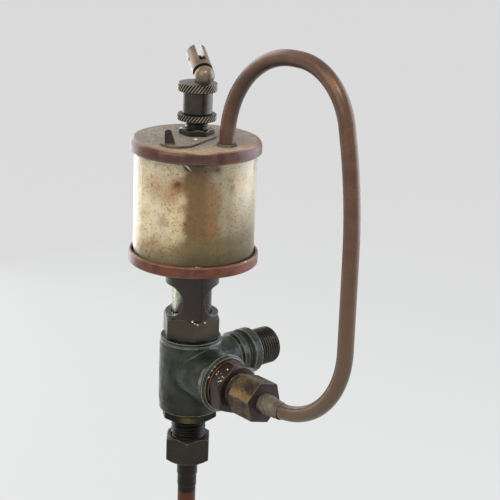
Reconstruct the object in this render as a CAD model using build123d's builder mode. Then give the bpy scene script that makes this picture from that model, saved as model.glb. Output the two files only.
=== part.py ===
"""Sight-feed drip lubricator with its tee fitting and balance pipe.

Oil in the glass cup passes a needle valve, falls in drops through a windowed sight cage
and runs through the tee into the machine and down the delivery pipe. A copper pipe joins
the side of the tee to the air space above the oil. Millimetres, +Z up. The origin is the
centre of the seat that is screwed up against the machine, and +Y points into its wall.
"""

import os
from math import cos, hypot, radians, sin, sqrt, tan

from build123d import *

# Clearances
fit_gap = 0.05  # radial play of a piece in its socket or thread
turning_gap = 0.1  # play of a piece that turns or slides by hand
bent_gap = 0.2  # play round the hand-bent pipe

# Tee casting, with its three horizontal and upright axes meeting at height 0
seat_reach = 34.0  # from the seat to the upright axis
barrel_top = 14.75
barrel_bottom = -18.1
barrel_radius = 13.3
barrel_top_radius = 12.95
barrel_bottom_radius = 12.95
barrel_rim = 1.3
barrel_straight = 12.9  # half the height of its straight middle
casting_blend = 0.6
boss_radius = 12.5
boss_reach = 24.0
boss_rim = 2.0
boss_bevel = 1.1
boss_groove = 0.45
branch_radius = 9.0
branch_length = 9.2  # from the groove to the seat collar's far face
branch_bead = 10.0
collar_radius = 10.2
collar_length = 4.6
groove_radius = 8.9
groove_width = 1.1
tee_passage_radius = 5.2
socket_depth = 9.5

# Screwed nipple of the seat
nipple_radius = 8.3
nipple_wall = 2.6
nipple_reach = 12.0
nipple_bevel = 0.8
nipple_groove = 0.6  # depth and reach of the run-out of its thread at the seat

# Sight cage and what it holds
washer_thickness = 1.2
cage_washer_radius = 11.2
cage_flats = 22.2
cage_hexagon_height = 8.85
cage_turn = -31.0  # heading of a corner, in degrees from +X
cage_neck_radius = 11.35
cage_neck_height = 23.95
cage_bore_radius = 8.7
cage_floor = 3.6
cage_spigot_radius = 7.9
cage_spigot_length = 8.5
window_height = 16.35  # of the windows' middle over the foot of the hexagon
window_half_height = 6.65
window_half_angle = 65.8
window_heading = 55.3  # of one window; the other is opposite
window_end_straight = 0.3  # upright stretch in the middle of each rounded end
sight_glass_radius = 8.4
sight_glass_wall = 1.5
sight_washer_thickness = 0.8
nozzle_radius = 1.9
nozzle_length = 6.2
nozzle_tip_radius = 1.1
nozzle_bore_radius = 0.7
drain_radius = 5.2

# Cup: base ring, glass and lid
base_height = 4.75
lip_width = 1.1
base_floor = 1.15
base_ledge = 2.75
base_plug_length = 6.0
base_skirt_radius = 13.4
base_skirt_depth = 2.9
base_dish_margin = 3.7
glass_radius = 25.4
cup_overhang = 1.8  # of the base ring and the lid past the glass
glass_wall = 3.0
glass_height = 47.5
gasket_thickness = 0.6
gasket_inset = 0.2
lid_height = 5.7
lid_skirt = 2.8
lid_shoulder = 3.0
lid_rim_gap = 0.3
edge_break = 0.4

# Centre tube, which ties the lid down to the base
tube_radius = 4.84
tube_wall = 2.3
tube_foot_radius = 4.2
tube_foot_length = 6.0
tube_port_radius = 1.1
tube_port_height = 3.0
tube_top_in_sleeve = 5.0

# Filler cover and the nut that holds it
cover_thickness = 1.0
cover_hub_radius = 8.3
cover_heading = -64.0
cover_swing_radius = 17.6  # to the centre of the cover's round end
cover_end_radius = 7.2
filler_radius = 5.5
filler_swing_radius = 16.2
tab_radius = 24.2
tab_facing = -50.0  # heading of the tab's face, which is bent askew
tab_thickness = 0.7
tab_height = 6.2
tab_foot_width = 4.7
tab_tip_width = 2.8
tab_lean = 1.1  # of its tip towards one side
lid_nut_flats = 12.7
lid_nut_height = 2.6
lid_nut_turn = -5.7

# Adjuster: lock ring, sleeve and its knurled cap
ring_radius = 8.05
ring_height = 2.7
thread_shown = 3.2  # bare thread between lid nut and lock ring
sleeve_gap = 0.3
sleeve_radius = 6.2
sleeve_height = 8.9
cap_height = 3.5
cap_floor = 2.2

# Needle and snap lever
needle_radius = 1.3
needle_tip_length = 3.0
needle_tip_radius = 0.3
needle_over_pin = 1.5
pin_radius = 0.75
pin_over_cap = 9.3
lever_heading = -22.6
lever_dip = 30.0
ball_radius = 4.08
ball_reach = 10.15  # from the pin to the ball's centre
ball_shoulder = 3.1  # from the ball's centre to the end of the barrel
fork_reach = 5.0  # from the pin to the flat end of the fork
slot_reach = 4.9  # from the pin towards the ball

# Side fitting, along +X
side_washer_thickness = 1.3
side_washer_radius = 10.6
side_flats = 20.0
side_hexagon_length = 6.6
side_turn = 39.0
side_thread_radius = 7.0
side_thread_shown = 3.6
side_collar_radius = 8.0
side_collar_length = 1.0
side_nut_flats = 16.4
side_nut_length = 12.5
side_nut_turn = 44.0
side_sleeve_radius = 4.3
side_sleeve_length = 10.7
side_sleeve_straight = 3.0
side_sleeve_tip_wall = 0.15
nut_lip = 3.2
ferrule_length = 3.0

# Copper balance pipe, in the upright plane through the tee's axis
pipe_radius = 3.175
pipe_wall = 0.7
pipe_inset = 6.2  # from the glass's outside to the pipe's centre, at the lid
pipe_lean = 1.5  # of the first run, over its height
pipe_rise = 40.4  # of the crest over the lid
pipe_crest_run = 59.7
pipe_shoulder_run = 10.4
pipe_third_height = 97.0
pipe_foot_run = 1.2
pipe_bends = [37.2, 26.5, 210.0, 36.1]
pipe_solder_step = 1.2
solder_radius = 4.3
solder_height = 0.9

# Lower fitting and delivery pipe
lower_washer_thickness = 0.9
lower_washer_radius = 11.0
lower_flats = 22.4
lower_hexagon_height = 3.3
lower_turn = -32.0
lower_thread_radius = 7.5
lower_thread_shown = 9.1
lower_nut_flats = 18.4
lower_nut_height = 11.6
lower_nut_turn = -41.0
lower_sleeve_radius = 4.5
lower_sleeve_length = 7.3
lower_tail_radius = 4.2
lower_tail_length = 5.7  # thinner end of the sleeve
delivery_radius = 3.97
delivery_wall = 0.85
delivery_step = 0.35  # the pipe is cleaned down by this where its sleeve is sweated on
delivery_length = 9.0  # bare pipe below its sleeve

# Heights and places that follow from the sizes above
cup_radius = glass_radius + cup_overhang
cage_foot = barrel_top + washer_thickness
cage_shoulder = cage_foot + cage_hexagon_height
base_bottom = cage_shoulder + cage_neck_height
base_top = base_bottom + base_height
plug_bottom = base_bottom - base_plug_length
ledge_top = base_bottom + base_ledge
glass_bottom = base_bottom + base_floor + gasket_thickness
glass_top = glass_bottom + glass_height
lid_ceiling = glass_top + gasket_thickness
lid_top = lid_ceiling - lid_skirt + lid_height
cover_bottom = lid_top + turning_gap
cover_top = cover_bottom + cover_thickness
lid_nut_bottom = cover_top + turning_gap
lid_nut_top = lid_nut_bottom + lid_nut_height
ring_bottom = lid_nut_top + thread_shown
sleeve_bottom = ring_bottom + ring_height + sleeve_gap
cap_bottom = sleeve_bottom + sleeve_height
cap_top = cap_bottom + cap_height
pin_height = cap_top + pin_over_cap
pipe_lid_reach = glass_radius - pipe_inset
pipe_first_corner = pipe_lid_reach + pipe_lean
pipe_second_corner = pipe_first_corner + pipe_crest_run
pipe_third_corner = pipe_second_corner + pipe_shoulder_run
pipe_fourth_corner = pipe_third_corner + pipe_foot_run
pipe_crest = lid_top + pipe_rise
side_foot = boss_reach + side_washer_thickness
side_nut_start = side_foot + side_hexagon_length + side_thread_shown
side_nut_end = side_nut_start + side_nut_length
lower_foot = barrel_bottom - lower_washer_thickness
lower_nut_top = lower_foot - lower_hexagon_height - lower_thread_shown
lower_nut_bottom = lower_nut_top - lower_nut_height
lower_sleeve_step = lower_nut_bottom - lower_sleeve_length
lower_sleeve_bottom = lower_sleeve_step - lower_tail_length
delivery_end = lower_sleeve_bottom - delivery_length

# The upright plane through the tee, seen from the front, and the axes of its branches
column = Plane.XZ.offset(seat_reach)
upright = Axis((0, -seat_reach, 0), (0, 0, 1))
sideways = Axis((0, -seat_reach, 0), (1, 0, 0))
seat_section = Plane.YZ
inward = Axis((0, 0, 0), (0, 1, 0))


def level(height):
    """The level plane at a height, centred on the upright axis."""
    return Plane(origin=(0, -seat_reach, height))


def station(reach):
    """The upright plane across the side branch at a distance from the tee's axis."""
    return Plane(origin=(reach, -seat_reach, 0), x_dir=(0, -1, 0), z_dir=(1, 0, 0))


def turned_hexagon(foot, flats, height, turn, bevel_foot=False, bevel_head=True):
    """Add a hexagonal body to the open part, its corners turned off at 30 degrees."""
    with BuildSketch(foot) as outline:
        RegularPolygon(radius=flats / 2, side_count=6, major_radius=False, rotation=turn)
    extrude(outline.sketch, amount=height)
    corner = flats / sqrt(3)
    face_circle = flats / 2 * 0.97
    drop = (corner - face_circle) * tan(radians(30))
    foot_edge = [(face_circle, 0), (corner, drop)] if bevel_foot else [(corner, 0)]
    head_edge = [(corner, height - drop), (face_circle, height)] if bevel_head else [(corner, height)]
    section = Plane(origin=foot.origin, x_dir=foot.x_dir, z_dir=-foot.y_dir)
    with BuildSketch(section) as turning:
        with BuildLine():
            Polyline((0, 0), *foot_edge, *head_edge, (0, height), close=True)
        make_face()
    revolve(turning.sketch, axis=Axis(foot.origin, foot.z_dir), mode=Mode.INTERSECT)


def washer(foot, thickness, outer_radius, hole_radius):
    """Add a flat ring, standing on a plane, to the open part."""
    with BuildSketch(foot) as ring:
        Circle(outer_radius)
        Circle(hole_radius, mode=Mode.SUBTRACT)
    extrude(ring.sketch, amount=thickness)


# The casting: a barrel that swells towards its branches, a wide side boss and a rear branch
with BuildPart() as tee_body:
    with BuildSketch(column):
        with BuildLine():
            Polyline(
                (0, barrel_bottom),
                (barrel_bottom_radius, barrel_bottom),
                (barrel_bottom_radius, barrel_bottom + barrel_rim),
                (barrel_radius, -barrel_straight),
                (barrel_radius, barrel_straight),
                (barrel_top_radius, barrel_top - barrel_rim),
                (barrel_top_radius, barrel_top),
                (0, barrel_top),
                close=True,
            )
        make_face()
    revolve(axis=upright)
    with BuildSketch(column):
        with BuildLine():
            Polyline(
                (0, 0),
                (0, boss_radius - boss_groove),
                (boss_reach - 2 * boss_rim, boss_radius - boss_groove),
                (boss_reach - boss_rim, boss_radius),
                (boss_reach - boss_bevel, boss_radius),
                (boss_reach, boss_radius - boss_bevel),
                (boss_reach, 0),
                close=True,
            )
        make_face()
    revolve(axis=sideways)
    saddle = tee_body.edges().filter_by(GeomType.BSPLINE)
    fillet(saddle, radius=casting_blend)
    with BuildSketch(seat_section):
        with BuildLine():
            Polyline(
                (-seat_reach, 0),
                (-seat_reach, branch_radius),
                (-branch_length - branch_bead / 4, branch_radius),
                (-branch_length - branch_bead / 8, branch_bead),
                (-branch_length + branch_bead / 8, branch_bead),
                (-collar_length - groove_width, groove_radius),
                (-collar_length, groove_radius),
                (-collar_length, collar_radius - edge_break),
                (-collar_length + edge_break, collar_radius),
                (-edge_break, collar_radius),
                (0, collar_radius - edge_break),
                (0, 0),
                close=True,
            )
        make_face()
    revolve(axis=inward)
    seam = tee_body.edges().filter_by(
        lambda edge: edge.geom_type == GeomType.BSPLINE
        and abs(hypot((edge @ 0.5).X, (edge @ 0.5).Z) - branch_radius) < casting_blend / 10
    )
    fillet(seam, radius=casting_blend)
    with Locations(level(barrel_top)):
        CounterBoreHole(
            radius=tee_passage_radius,
            counter_bore_radius=cage_spigot_radius + fit_gap,
            counter_bore_depth=socket_depth,
            depth=barrel_top - barrel_bottom,
        )
    with BuildSketch(level(barrel_bottom)):
        Circle(lower_thread_radius + fit_gap)
    extrude(amount=socket_depth, mode=Mode.SUBTRACT)
    with Locations(station(boss_reach)):
        CounterBoreHole(
            radius=tee_passage_radius,
            counter_bore_radius=side_thread_radius + fit_gap,
            counter_bore_depth=socket_depth,
            depth=boss_reach,
        )
    with Locations(Plane(origin=(0, 0, 0), z_dir=(0, 1, 0))):
        CounterBoreHole(
            radius=tee_passage_radius,
            counter_bore_radius=nipple_radius + fit_gap,
            counter_bore_depth=socket_depth,
            depth=seat_reach,
        )

# Nipple, screwed half into the casting and half standing out of the seat
with BuildPart() as engine_nipple:
    with BuildSketch(seat_section):
        with BuildLine():
            Polyline(
                (-socket_depth, nipple_radius - nipple_wall),
                (-socket_depth, nipple_radius),
                (-nipple_groove, nipple_radius),
                (-nipple_groove, nipple_radius - nipple_groove),
                (nipple_groove, nipple_radius - nipple_groove),
                (2 * nipple_groove, nipple_radius),
                (nipple_reach - nipple_bevel, nipple_radius),
                (nipple_reach, nipple_radius - nipple_bevel),
                (nipple_reach, nipple_radius - nipple_wall),
                close=True,
            )
        make_face()
    revolve(axis=inward)

with BuildPart() as cage_washer:
    washer(level(barrel_top), washer_thickness, cage_washer_radius, cage_spigot_radius + fit_gap)

# What the two opposite windows cut out of the sight cage: wide sectors with rounded ends
with BuildPart() as window_cuts:
    for heading in (window_heading, window_heading + 180):
        start = radians(heading - window_half_angle)
        window_side = Plane(
            origin=(0, -seat_reach, cage_foot + window_height),
            x_dir=(cos(start), sin(start), 0),
            z_dir=(sin(start), -cos(start), 0),
        )
        with BuildSketch(window_side):
            with Locations(((sight_glass_radius + cage_neck_radius + edge_break) / 2, 0)):
                Rectangle(
                    cage_neck_radius + edge_break - sight_glass_radius,
                    2 * window_half_height,
                )
        revolve(axis=upright, revolution_arc=2 * window_half_angle)
    window_corners = window_cuts.edges().filter_by(GeomType.LINE).filter_by(Plane.XY)
    fillet(window_corners, radius=window_half_height - window_end_straight / 2)

# Sight cage: a hexagon and a round neck bored out for the glass, with a window on each side
with BuildPart() as sight_cage:
    turned_hexagon(level(cage_foot), cage_flats, cage_hexagon_height, cage_turn)
    with BuildSketch(level(cage_foot)):
        Circle(cage_neck_radius - edge_break)
    extrude(amount=cage_hexagon_height)
    with BuildSketch(level(cage_shoulder)):
        Circle(cage_neck_radius)
    extrude(amount=cage_neck_height)
    with BuildSketch(level(cage_foot)):
        Circle(cage_spigot_radius)
    extrude(amount=-cage_spigot_length)
    with BuildSketch(level(base_bottom)):
        Circle(cage_bore_radius)
    extrude(amount=cage_foot + cage_floor - base_bottom, mode=Mode.SUBTRACT)
    with BuildSketch(level(cage_foot + cage_floor)):
        Circle(drain_radius)
    extrude(amount=-cage_floor - cage_spigot_length, mode=Mode.SUBTRACT)
    add(window_cuts.part, mode=Mode.SUBTRACT)

glass_floor = cage_foot + cage_floor + sight_washer_thickness
glass_ceiling = plug_bottom - sight_washer_thickness
sight_glass_bore = sight_glass_radius - sight_glass_wall

with BuildPart() as lower_sight_washer:
    washer(
        level(cage_foot + cage_floor),
        sight_washer_thickness,
        sight_glass_radius,
        sight_glass_bore,
    )

with BuildPart() as sight_glass:
    washer(level(glass_floor), glass_ceiling - glass_floor, sight_glass_radius, sight_glass_bore)

with BuildPart() as upper_sight_washer:
    washer(level(glass_ceiling), sight_washer_thickness, sight_glass_radius, sight_glass_bore)

# Cup base: a plug into the cage, a dished underside and a ledge and lip that hold the glass
with BuildPart() as cup_base:
    with BuildSketch(column):
        with BuildLine():
            Polyline(
                (0, plug_bottom),
                (cage_bore_radius - fit_gap, plug_bottom),
                (cage_bore_radius - fit_gap, base_bottom),
                (cage_neck_radius + fit_gap, base_bottom),
                (cage_neck_radius + fit_gap, base_bottom - base_skirt_depth),
                (base_skirt_radius, base_bottom - base_skirt_depth),
                (base_skirt_radius + base_skirt_depth / 2, base_bottom - base_skirt_depth / 2),
                (cup_radius - base_dish_margin, base_bottom),
                (cup_radius - edge_break, base_bottom),
                (cup_radius, base_bottom + edge_break),
                (cup_radius, base_top - edge_break),
                (cup_radius - edge_break, base_top),
                (cup_radius - lip_width, base_top),
                (cup_radius - lip_width, base_bottom + base_floor),
                (glass_radius - glass_wall - edge_break, base_bottom + base_floor),
                (glass_radius - glass_wall - edge_break, ledge_top),
                (0, ledge_top),
                close=True,
            )
        make_face()
    revolve(axis=upright)
    with BuildSketch(level(ledge_top)):
        Circle(tube_foot_radius + fit_gap)
    extrude(amount=-tube_foot_length, mode=Mode.SUBTRACT)
    with BuildSketch(level(plug_bottom)):
        Circle(nozzle_radius + fit_gap)
    extrude(amount=base_plug_length, mode=Mode.SUBTRACT)

# Drip nozzle, screwed up into the plug, with the valve seat at its top
with BuildPart() as drip_nozzle:
    nozzle_top = ledge_top - tube_foot_length
    with BuildSketch(column):
        with BuildLine():
            Polyline(
                (nozzle_bore_radius, nozzle_top),
                (nozzle_radius, nozzle_top),
                (nozzle_radius, plug_bottom - nozzle_length / 2),
                (nozzle_tip_radius, plug_bottom - nozzle_length),
                (nozzle_bore_radius, plug_bottom - nozzle_length),
                close=True,
            )
        make_face()
    revolve(axis=upright)

with BuildPart() as lower_gasket:
    washer(
        level(base_bottom + base_floor),
        gasket_thickness,
        glass_radius - gasket_inset,
        glass_radius - glass_wall + gasket_inset,
    )

with BuildPart() as glass_cup:
    washer(level(glass_bottom), glass_height, glass_radius, glass_radius - glass_wall)
    fillet(glass_cup.edges(), radius=edge_break)

with BuildPart() as upper_gasket:
    washer(
        level(glass_top),
        gasket_thickness,
        glass_radius - gasket_inset,
        glass_radius - glass_wall + gasket_inset,
    )

# Lid: a shallow cap with a rounded shoulder, bored for the tube, the filler and the pipe
cover_angle = radians(cover_heading)
filler_place = (filler_swing_radius * cos(cover_angle), filler_swing_radius * sin(cover_angle))
with BuildPart() as lid:
    with BuildSketch(column):
        with BuildLine():
            Polyline(
                (0, lid_ceiling),
                (glass_radius + lid_rim_gap, lid_ceiling),
                (glass_radius + lid_rim_gap, lid_ceiling - lid_skirt),
                (cup_radius - edge_break, lid_ceiling - lid_skirt),
                (cup_radius, lid_ceiling - lid_skirt + edge_break),
                (cup_radius, lid_top),
                (0, lid_top),
                close=True,
            )
        make_face()
    revolve(axis=upright)
    shoulder = lid.edges().group_by(Axis.Z)[-1]
    fillet(shoulder, radius=lid_shoulder)
    with BuildSketch(level(lid_top)):
        Circle(tube_radius + fit_gap)
        with Locations(filler_place):
            Circle(filler_radius)
        with Locations((pipe_lid_reach, 0)):
            Circle(pipe_radius - pipe_wall)
    extrude(amount=-lid_height, mode=Mode.SUBTRACT)
    with BuildSketch(level(lid_top)):
        with Locations((pipe_lid_reach, 0)):
            Circle(pipe_radius + bent_gap)
    extrude(amount=-lid_height + lid_skirt + pipe_solder_step, mode=Mode.SUBTRACT)

# Solder ring round the foot of the pipe on the lid
with BuildPart() as solder_ring:
    with BuildSketch(level(lid_top)):
        with Locations((pipe_lid_reach, 0)):
            Circle(solder_radius)
    extrude(amount=solder_height, taper=35)
    with BuildSketch(level(lid_top)):
        with Locations((pipe_lid_reach, 0)):
            Circle(pipe_radius + bent_gap)
    extrude(amount=solder_height, mode=Mode.SUBTRACT)

# Centre tube: foot screwed into the base, ports for the oil, thread for nut and adjuster
with BuildPart() as centre_tube:
    with BuildSketch(level(ledge_top)):
        Circle(tube_foot_radius)
    extrude(amount=-tube_foot_length)
    with BuildSketch(level(ledge_top)):
        Circle(tube_radius)
    extrude(amount=sleeve_bottom + tube_top_in_sleeve - ledge_top)
    with BuildSketch(level(ledge_top - tube_foot_length)):
        Circle(tube_radius - tube_wall)
    extrude(amount=sleeve_bottom + tube_top_in_sleeve, mode=Mode.SUBTRACT)
    for heading in (0, 90):
        across = Plane(
            origin=(0, -seat_reach, ledge_top + tube_port_height),
            z_dir=(cos(radians(heading)), sin(radians(heading)), 0),
        )
        with BuildSketch(across):
            Circle(tube_port_radius)
        extrude(amount=tube_radius + edge_break, both=True, mode=Mode.SUBTRACT)

# Filler cover: a pear-shaped plate that swings about the tube, with a finger tab bent up
cover_end = (cover_swing_radius * cos(cover_angle), cover_swing_radius * sin(cover_angle))
with BuildPart() as filler_cover:
    with BuildSketch(level(cover_bottom)):
        Circle(cover_hub_radius)
        with Locations(cover_end):
            Circle(cover_end_radius)
        make_hull()
    extrude(amount=cover_thickness)
    tab_angle = radians(tab_facing)
    tab_plane = Plane(
        origin=(
            tab_radius * cos(cover_angle),
            -seat_reach + tab_radius * sin(cover_angle),
            cover_bottom,
        ),
        x_dir=(-sin(tab_angle), cos(tab_angle), 0),
        z_dir=(cos(tab_angle), sin(tab_angle), 0),
    )
    tab_round = cover_thickness + tab_height - tab_tip_width / 2
    with BuildSketch(tab_plane):
        with BuildLine():
            Line((-tab_foot_width / 2, 0), (tab_foot_width / 2, 0))
            Line((tab_foot_width / 2, 0), (tab_tip_width / 2 - tab_lean, tab_round))
            ThreePointArc(
                (tab_tip_width / 2 - tab_lean, tab_round),
                (-tab_lean, cover_thickness + tab_height),
                (-tab_tip_width / 2 - tab_lean, tab_round),
            )
            Line((-tab_tip_width / 2 - tab_lean, tab_round), (-tab_foot_width / 2, 0))
        make_face()
    extrude(amount=-tab_thickness)
    with BuildSketch(level(cover_bottom)):
        Circle(tube_radius + turning_gap)
    extrude(amount=cover_thickness, mode=Mode.SUBTRACT)

with BuildPart() as lid_nut:
    turned_hexagon(level(lid_nut_bottom), lid_nut_flats, lid_nut_height, lid_nut_turn)
    with BuildSketch(level(lid_nut_bottom)):
        Circle(tube_radius + fit_gap)
    extrude(amount=lid_nut_height, mode=Mode.SUBTRACT)

# Knurled lock ring
with BuildPart() as lock_ring:
    with BuildSketch(level(ring_bottom)):
        Circle(ring_radius)
    extrude(amount=ring_height)
    chamfer(lock_ring.edges(), length=edge_break)
    with BuildSketch(level(ring_bottom)):
        Circle(tube_radius + fit_gap)
    extrude(amount=ring_height, mode=Mode.SUBTRACT)

# Adjusting sleeve: it screws on the tube and carries the knurled cap that the needle passes
with BuildPart() as adjusting_sleeve:
    with BuildSketch(level(sleeve_bottom)):
        Circle(sleeve_radius)
    extrude(amount=sleeve_height)
    with BuildSketch(level(cap_bottom)):
        Circle(ring_radius)
    extrude(amount=cap_height)
    rims = adjusting_sleeve.edges().filter_by(GeomType.CIRCLE).sort_by(SortBy.RADIUS)[-2:]
    chamfer(rims, length=edge_break)
    with BuildSketch(level(sleeve_bottom)):
        Circle(tube_radius + fit_gap)
    extrude(amount=cap_top - cap_floor - sleeve_bottom, mode=Mode.SUBTRACT)
    with BuildSketch(level(cap_top)):
        Circle(needle_radius + turning_gap)
    extrude(amount=-cap_height, mode=Mode.SUBTRACT)

# Needle, from its seat on the nozzle up through the cap to the eye for the pin
lever_angle = radians(lever_heading)
pin_place = (0, -seat_reach, pin_height)
pin_direction = (sin(lever_angle), -cos(lever_angle), 0)
with BuildPart() as needle:
    with BuildSketch(column):
        with BuildLine():
            Polyline(
                (0, nozzle_top),
                (needle_tip_radius, nozzle_top),
                (needle_radius, nozzle_top + needle_tip_length),
                (needle_radius, pin_height + needle_over_pin - edge_break),
                (needle_radius - edge_break, pin_height + needle_over_pin),
                (0, pin_height + needle_over_pin),
                close=True,
            )
        make_face()
    revolve(axis=upright)
    with BuildSketch(Plane(origin=pin_place, z_dir=pin_direction)):
        Circle(pin_radius + fit_gap)
    extrude(amount=needle_radius, both=True, mode=Mode.SUBTRACT)

with BuildPart() as lever_pin:
    with BuildSketch(Plane(origin=pin_place, z_dir=pin_direction)):
        Circle(pin_radius)
    extrude(amount=ball_radius - edge_break, both=True)

# Snap lever: one turned piece with a ball, a barrel and a fork over the needle's eye
lever_dip_angle = radians(lever_dip)
lever_plane = Plane(
    origin=pin_place,
    x_dir=(
        cos(lever_angle) * cos(lever_dip_angle),
        sin(lever_angle) * cos(lever_dip_angle),
        -sin(lever_dip_angle),
    ),
    z_dir=pin_direction,
)
barrel_end = ball_reach - ball_shoulder
ball_neck = sqrt(ball_radius**2 - ball_shoulder**2)
with BuildPart() as toggle_lever:
    with BuildSketch(lever_plane):
        with BuildLine():
            Polyline(
                (ball_reach + ball_radius, 0),
                (-fork_reach, 0),
                (-fork_reach, ball_radius - edge_break),
                (-fork_reach + edge_break, ball_radius),
                (barrel_end, ball_radius),
                (barrel_end, ball_neck),
            )
            RadiusArc((barrel_end, ball_neck), (ball_reach + ball_radius, 0), ball_radius)
        make_face()
    revolve(axis=Axis(pin_place, lever_plane.x_dir))
    with BuildSketch(lever_plane):
        with Locations(((slot_reach - fork_reach) / 2, 0)):
            Rectangle(slot_reach + fork_reach, 2 * ball_radius)
    extrude(amount=needle_radius + turning_gap, both=True, mode=Mode.SUBTRACT)
    with BuildSketch(lever_plane):
        Circle(pin_radius + fit_gap)
    extrude(amount=ball_radius, both=True, mode=Mode.SUBTRACT)

with BuildPart() as side_washer:
    washer(
        station(boss_reach),
        side_washer_thickness,
        side_washer_radius,
        side_thread_radius + fit_gap,
    )

# Side connector: hexagon, collar and thread, bored for the pipe
side_pipe_end = side_nut_start + ferrule_length
side_ferrule_start = side_nut_end - nut_lip - ferrule_length
with BuildPart() as side_connector:
    turned_hexagon(station(side_foot), side_flats, side_hexagon_length, side_turn, bevel_foot=True)
    with BuildSketch(station(boss_reach - socket_depth + turning_gap)):
        Circle(side_thread_radius)
    extrude(amount=side_ferrule_start - boss_reach + socket_depth - turning_gap)
    with BuildSketch(station(side_nut_start - side_collar_length)):
        Circle(side_collar_radius)
    extrude(amount=side_collar_length)
    with BuildSketch(station(boss_reach - socket_depth)):
        Circle(pipe_radius - pipe_wall)
    extrude(amount=side_ferrule_start, mode=Mode.SUBTRACT)
    with BuildSketch(station(side_pipe_end)):
        Circle(pipe_radius + bent_gap)
    extrude(amount=side_ferrule_start, mode=Mode.SUBTRACT)

with BuildPart() as side_nut:
    turned_hexagon(
        station(side_nut_start),
        side_nut_flats,
        side_nut_length,
        side_nut_turn,
        bevel_foot=True,
        bevel_head=False,
    )
    with BuildSketch(station(side_nut_start)):
        Circle(side_thread_radius + fit_gap)
    extrude(amount=side_nut_length - nut_lip, mode=Mode.SUBTRACT)
    with BuildSketch(station(side_nut_start)):
        Circle(side_sleeve_radius + fit_gap)
    extrude(amount=side_nut_length, mode=Mode.SUBTRACT)

# Pipe sleeve: a collar inside the nut and a tail that tapers down to the pipe
with BuildPart() as side_pipe_sleeve:
    with BuildSketch(column):
        with BuildLine():
            Polyline(
                (side_ferrule_start, pipe_radius + bent_gap),
                (side_ferrule_start, side_thread_radius - fit_gap),
                (side_nut_end - nut_lip, side_thread_radius - fit_gap),
                (side_nut_end - nut_lip, side_sleeve_radius),
                (side_nut_end + side_sleeve_straight, side_sleeve_radius),
                (side_nut_end + side_sleeve_length, pipe_radius + bent_gap + side_sleeve_tip_wall),
                (side_nut_end + side_sleeve_length, pipe_radius + bent_gap),
                close=True,
            )
        make_face()
    revolve(axis=sideways)

# Balance pipe: straight runs joined by tangent bends, from the lid over to the side nut
with BuildPart() as balance_pipe:
    with BuildLine(column) as route:
        FilletPolyline(
            (pipe_lid_reach, lid_ceiling + pipe_solder_step + bent_gap),
            (pipe_first_corner, pipe_crest),
            (pipe_second_corner, pipe_crest),
            (pipe_third_corner, pipe_third_height),
            (pipe_fourth_corner, 0),
            (side_pipe_end, 0),
            radius=pipe_bends,
        )
    with BuildSketch(Plane(origin=route.line @ 0, z_dir=route.line % 0)):
        Circle(pipe_radius)
        Circle(pipe_radius - pipe_wall, mode=Mode.SUBTRACT)
    sweep()

with BuildPart() as lower_washer:
    washer(
        level(lower_foot),
        lower_washer_thickness,
        lower_washer_radius,
        lower_thread_radius + fit_gap,
    )

# Lower connector: the same fitting, hanging from the tee
under = Plane(origin=(0, -seat_reach, lower_foot), x_dir=(1, 0, 0), z_dir=(0, 0, -1))
lower_ferrule_top = lower_nut_bottom + nut_lip + ferrule_length
delivery_socket = delivery_radius - delivery_step + fit_gap
with BuildPart() as lower_connector:
    turned_hexagon(under, lower_flats, lower_hexagon_height, -lower_turn)
    with BuildSketch(level(lower_ferrule_top)):
        Circle(lower_thread_radius)
    extrude(amount=barrel_bottom + socket_depth - turning_gap - lower_ferrule_top)
    with BuildSketch(level(lower_ferrule_top)):
        Circle(delivery_radius - delivery_wall)
    extrude(amount=barrel_bottom + socket_depth - lower_ferrule_top, mode=Mode.SUBTRACT)
    with BuildSketch(level(lower_ferrule_top)):
        Circle(delivery_socket)
    extrude(amount=ferrule_length, mode=Mode.SUBTRACT)

lower_nut_plane = Plane(
    origin=(0, -seat_reach, lower_nut_top), x_dir=(1, 0, 0), z_dir=(0, 0, -1)
)
with BuildPart() as lower_nut:
    turned_hexagon(
        lower_nut_plane,
        lower_nut_flats,
        lower_nut_height,
        -lower_nut_turn,
        bevel_foot=True,
    )
    with BuildSketch(lower_nut_plane):
        Circle(lower_thread_radius + fit_gap)
    extrude(amount=lower_nut_height - nut_lip, mode=Mode.SUBTRACT)
    with BuildSketch(lower_nut_plane):
        Circle(lower_sleeve_radius + fit_gap)
    extrude(amount=lower_nut_height, mode=Mode.SUBTRACT)

# Sleeve of the delivery pipe, with a thinner tail
with BuildPart() as lower_pipe_sleeve:
    with BuildSketch(column):
        with BuildLine():
            Polyline(
                (delivery_socket, lower_ferrule_top),
                (lower_thread_radius - fit_gap, lower_ferrule_top),
                (lower_thread_radius - fit_gap, lower_nut_bottom + nut_lip),
                (lower_sleeve_radius, lower_nut_bottom + nut_lip),
                (lower_sleeve_radius, lower_sleeve_step),
                (lower_tail_radius, lower_sleeve_step - edge_break),
                (lower_tail_radius, lower_sleeve_bottom),
                (delivery_socket, lower_sleeve_bottom),
                close=True,
            )
        make_face()
    revolve(axis=upright)

with BuildPart() as delivery_pipe:
    washer(
        level(delivery_end),
        delivery_length,
        delivery_radius,
        delivery_radius - delivery_wall,
    )
    washer(
        level(lower_sleeve_bottom),
        lower_ferrule_top + ferrule_length - lower_sleeve_bottom,
        delivery_radius - delivery_step,
        delivery_radius - delivery_wall,
    )

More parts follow.
